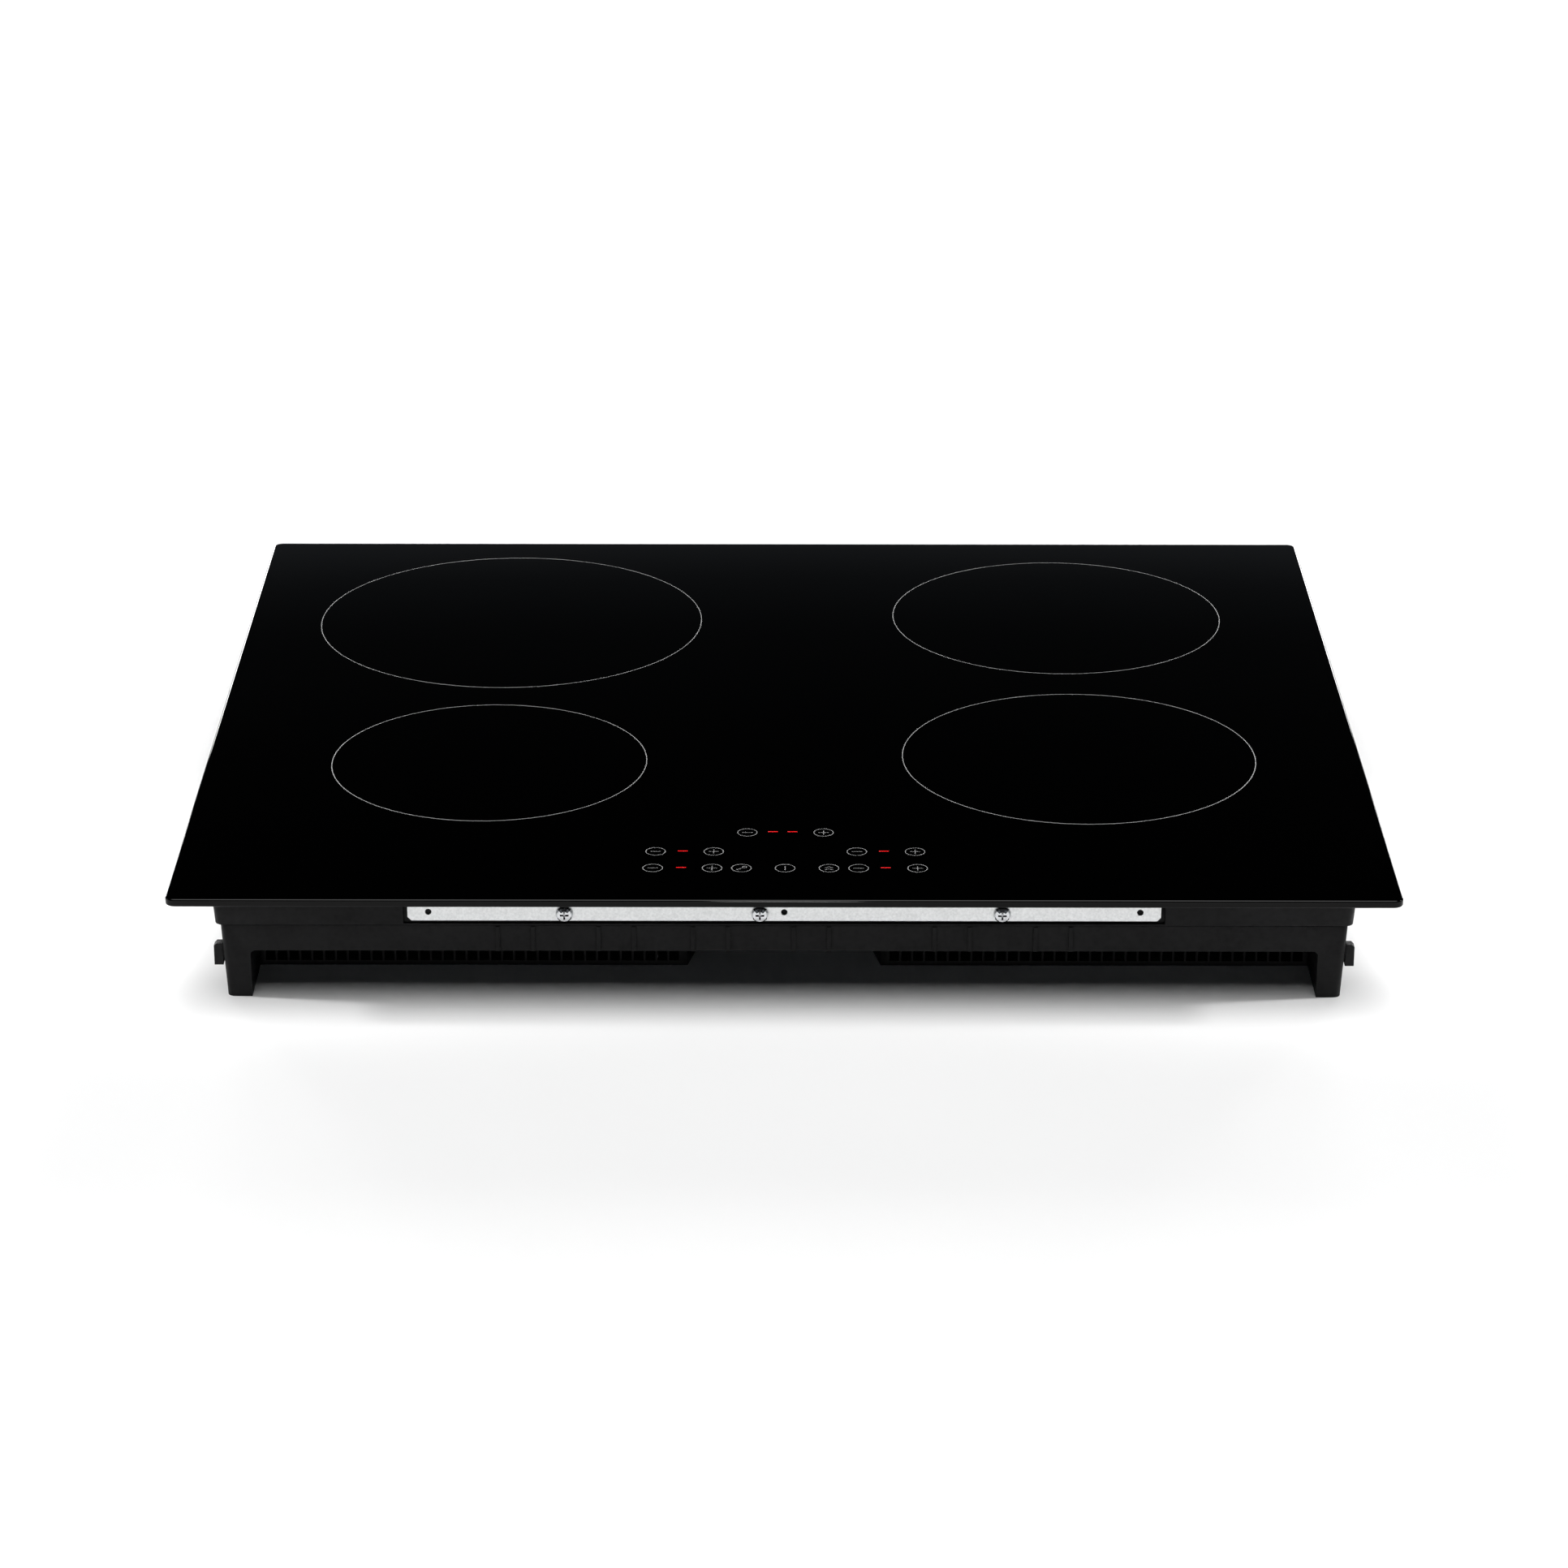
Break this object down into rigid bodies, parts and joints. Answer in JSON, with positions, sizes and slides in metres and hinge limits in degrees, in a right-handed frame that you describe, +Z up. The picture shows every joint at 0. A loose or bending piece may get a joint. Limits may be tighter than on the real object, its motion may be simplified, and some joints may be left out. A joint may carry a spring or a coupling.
{
  "type": "electric induction cooktop",
  "caption": "Built-in cooktop: a flat black glass plate with printed cooking zones and touch keys over a shallow vented tray that holds coils, power boards and blowers.",
  "frame": {"origin": "on the surface that the tray stands on, under the middle of the glass", "axes": "+Z up through the cooking surface, -Y towards the user (the touch control), +X to the user's right"},
  "size_m": [0.59, 0.52, 0.06],
  "materials": {
    "black_glass": "polished black ceramic glass, opaque, softly bevelled edge",
    "black_plastic": "fine-grained black glass-filled plastic",
    "dark_plastic": "plain black moulded plastic",
    "foam": "closed-cell foam strip",
    "silicone": "cured silicone",
    "zinc_steel": "bright zinc-plated sheet with a fine mottle",
    "steel": "nickel-plated steel",
    "aluminium": "mill finish",
    "copper_litz": "enamelled copper litz wire",
    "former_plastic": "glass-filled plastic with ferrite bars below",
    "mica": "pressed mica sheet",
    "circuit": "green solder-masked circuit board with parts",
    "capacitor": "potted film capacitor case",
    "ferrite": "ferrite toroid with enamelled wire",
    "terminal_plastic": "heat-resistant terminal block",
    "display": "smoked display window",
    "wire": "insulated wires"
  },
  "bodies": {
    "cooktop": {"glass_top": "black_glass", "glass_seal": "foam", "adhesive_bead": "silicone", "upper_frame": "black_plastic", "bottom_tray": "black_plastic", "side_latch_front_left": "dark_plastic", "side_latch_rear_left": "dark_plastic", "side_latch_front_right": "dark_plastic", "side_latch_rear_right": "dark_plastic", "front_bracket": "zinc_steel", "bracket_screw_left": "steel", "bracket_screw_middle": "steel", "bracket_screw_right": "steel", "coil_former_rear_left": "former_plastic", "coil_winding_rear_left": "copper_litz", "mica_sheet_rear_left": "mica", "temperature_sensor_rear_left": "silicone", "coil_former_rear_right": "former_plastic", "coil_winding_rear_right": "copper_litz", "mica_sheet_rear_right": "mica", "temperature_sensor_rear_right": "silicone", "coil_former_front_left": "former_plastic", "coil_winding_front_left": "copper_litz", "mica_sheet_front_left": "mica", "temperature_sensor_front_left": "silicone", "coil_former_front_right": "former_plastic", "coil_winding_front_right": "copper_litz", "mica_sheet_front_right": "mica", "temperature_sensor_front_right": "silicone", "coil_plate_left": "aluminium", "power_board_left": "circuit", "heatsink_left": "aluminium", "filter_capacitor_left": "capacitor", "choke_left": "ferrite", "blower_housing_left": "dark_plastic", "mains_harness_left": "wire", "coil_plate_right": "aluminium", "power_board_right": "circuit", "heatsink_right": "aluminium", "filter_capacitor_right": "capacitor", "choke_right": "ferrite", "blower_housing_right": "dark_plastic", "mains_harness_right": "wire", "control_carrier": "dark_plastic", "control_board": "circuit", "zone_display_rear_left": "display", "zone_display_rear_right": "display", "zone_display_front_left": "display", "zone_display_front_right": "display", "timer_display": "display", "control_ribbon": "wire", "terminal_block": "terminal_plastic", "terminal_cover_pin": "steel", "cable_gland": "dark_plastic"},
    "rotor_left": {"fan_rotor_left": "dark_plastic"},
    "rotor_right": {"fan_rotor_right": "dark_plastic"},
    "cover": {"terminal_cover": "black_plastic"}
  },
  "joints": [
    {"name": "fan_spin_left", "type": "hinge", "parent": "cooktop", "child": "rotor_left", "pos_m": [-0.15, 0.118, 0.016], "axis": [0, 0, 1], "continuous": true},
    {"name": "fan_spin_right", "type": "hinge", "parent": "cooktop", "child": "rotor_right", "pos_m": [0.15, 0.118, 0.016], "axis": [0, 0, 1], "continuous": true},
    {"name": "terminal_cover_hinge", "type": "hinge", "parent": "cooktop", "child": "cover", "pos_m": [0.17, 0.2424, 0.0356], "axis": [1, 0, 0], "range_deg": [0, 90]}
  ]
}
